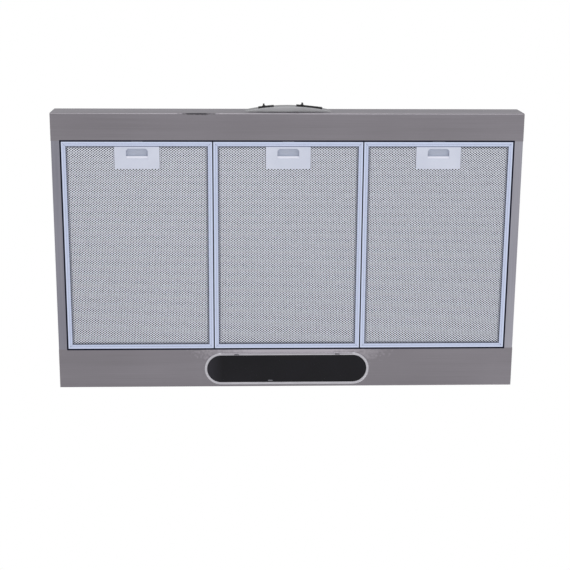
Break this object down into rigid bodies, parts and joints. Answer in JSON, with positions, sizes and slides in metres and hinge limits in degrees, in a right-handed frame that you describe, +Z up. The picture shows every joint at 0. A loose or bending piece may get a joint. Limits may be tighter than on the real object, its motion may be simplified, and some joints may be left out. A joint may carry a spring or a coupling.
{
  "type": "range hood",
  "caption": "Slim range hood of brushed steel with hinged mesh cassette filters, arched slide-switch fascia, rear lamp under a dark lens, centrifugal fan and a duct collar with flaps.",
  "frame": {"origin": "centre of the four cabinet screw holes, on the upper face of the top panel", "axes": "+Z up out of the top panel, +X to the right for the cook, -Y towards the room"},
  "size_m": [0.9, 0.5627, 0.1875],
  "materials": {
    "brushed_steel": "fine brushed, satin",
    "filter_aluminium": "anodised, satin",
    "mesh_aluminium": "expanded mesh",
    "catch_plastic": "smooth moulded",
    "latch_plastic": "smooth moulded",
    "spring_steel": "drawn wire",
    "fascia_silver": "silver paint",
    "black_plastic": "moulded black",
    "lens_dark": "glossy smoked",
    "bezel_chrome": "polished",
    "white_enamel": "white enamel",
    "bulb_glass": "frosted glass",
    "holder_plastic": "heat-proof moulding",
    "scroll_plastic": "moulded grey",
    "wheel_plastic": "moulded black",
    "zinc_steel": "zinc plated",
    "laminations": "stacked laminations",
    "cast_aluminium": "as cast",
    "black_rubber": "moulded rubber"
  },
  "bodies": {
    "root": {"front_panel": "brushed_steel", "back_panel": "brushed_steel", "top_panel": "brushed_steel", "right_panel": "brushed_steel", "left_panel": "brushed_steel", "control_fascia": "fascia_silver", "fascia_screws": "zinc_steel", "light_switch_plate": "black_plastic", "speed_switch_plate": "black_plastic", "light_switch": "black_plastic", "speed_switch": "black_plastic", "lamp_bezel": "bezel_chrome", "lens_hinge_pins": "zinc_steel", "lamp_housing": "white_enamel", "left_lamp_holder": "holder_plastic", "right_lamp_holder": "holder_plastic", "left_bulb": "bulb_glass", "right_bulb": "bulb_glass", "scroll_housing": "scroll_plastic", "scroll_floor": "scroll_plastic", "inlet_mouth": "scroll_plastic", "scroll_screws": "zinc_steel", "inlet_guard": "scroll_plastic", "motor_stator": "laminations", "motor_upper_bell": "cast_aluminium", "motor_lower_bell": "cast_aluminium", "motor_bracket": "zinc_steel", "motor_rubbers": "black_rubber", "motor_screws": "zinc_steel", "outlet_collar": "black_plastic", "collar_screws": "zinc_steel", "terminal_box": "black_plastic", "terminal_lid": "black_plastic", "terminal_block": "holder_plastic", "cable_grommet": "black_rubber", "capacitor": "cast_aluminium", "capacitor_clip": "zinc_steel"},
    "filter_1": {"filter_1_frame": "filter_aluminium", "filter_1_mesh": "mesh_aluminium", "filter_1_catch_plate": "catch_plastic", "filter_1_spring": "spring_steel"},
    "latch_1": {"filter_1_latch": "latch_plastic"},
    "filter_2": {"filter_2_frame": "filter_aluminium", "filter_2_mesh": "mesh_aluminium", "filter_2_catch_plate": "catch_plastic", "filter_2_spring": "spring_steel"},
    "latch_2": {"filter_2_latch": "latch_plastic"},
    "filter_3": {"filter_3_frame": "filter_aluminium", "filter_3_mesh": "mesh_aluminium", "filter_3_catch_plate": "catch_plastic", "filter_3_spring": "spring_steel"},
    "latch_3": {"filter_3_latch": "latch_plastic"},
    "light_slider": {"light_knob": "black_plastic"},
    "speed_slider": {"speed_knob": "black_plastic"},
    "fan": {"fan_wheel": "wheel_plastic", "wheel_nut": "zinc_steel", "motor_shaft": "zinc_steel"},
    "left_damper": {"left_flap": "black_plastic"},
    "right_damper": {"right_flap": "black_plastic"},
    "lens": {"lamp_lens": "lens_dark"}
  },
  "joints": [
    {"name": "filter_1_hinge", "type": "hinge", "parent": "root", "child": "filter_1", "pos_m": [-0.28793, 0.07, -0.1496], "axis": [1, 0, 0], "range_deg": [0, 75]},
    {"name": "filter_2_hinge", "type": "hinge", "parent": "root", "child": "filter_2", "pos_m": [0, 0.07, -0.1496], "axis": [1, 0, 0], "range_deg": [0, 75]},
    {"name": "filter_3_hinge", "type": "hinge", "parent": "root", "child": "filter_3", "pos_m": [0.28793, 0.07, -0.1496], "axis": [1, 0, 0], "range_deg": [0, 75]},
    {"name": "latch_1_slide", "type": "slide", "parent": "filter_1", "child": "latch_1", "axis": [0, 1, 0], "range_m": [0, 0.0065], "stiffness_N_per_m": 400, "springref_m": -0.004, "deforming": ["filter_1_spring"]},
    {"name": "latch_2_slide", "type": "slide", "parent": "filter_2", "child": "latch_2", "axis": [0, 1, 0], "range_m": [0, 0.0065], "stiffness_N_per_m": 400, "springref_m": -0.004, "deforming": ["filter_2_spring"]},
    {"name": "latch_3_slide", "type": "slide", "parent": "filter_3", "child": "latch_3", "axis": [0, 1, 0], "range_m": [0, 0.0065], "stiffness_N_per_m": 400, "springref_m": -0.004, "deforming": ["filter_3_spring"]},
    {"name": "light_switch_slide", "type": "slide", "parent": "root", "child": "light_slider", "axis": [0.9943, -0.1063, 0], "range_m": [0, 0.008]},
    {"name": "speed_switch_slide", "type": "slide", "parent": "root", "child": "speed_slider", "axis": [0.9946, 0.1037, 0], "range_m": [0, 0.028]},
    {"name": "fan_spin", "type": "hinge", "parent": "root", "child": "fan", "pos_m": [-0.19, -0.0178, -0.082], "axis": [0, 0, 1], "continuous": true},
    {"name": "left_damper_hinge", "type": "hinge", "parent": "root", "child": "left_damper", "pos_m": [-0.0042, 0.0559, 0.0064], "axis": [0, 1, 0], "range_deg": [0, 70]},
    {"name": "right_damper_hinge", "type": "hinge", "parent": "root", "child": "right_damper", "pos_m": [0.0042, 0.0559, 0.0064], "axis": [0, -1, 0], "range_deg": [0, 70]},
    {"name": "lens_hinge", "type": "hinge", "parent": "root", "child": "lens", "pos_m": [0, 0.0825, -0.15105], "axis": [-1, 0, 0], "range_deg": [0, 80]}
  ]
}
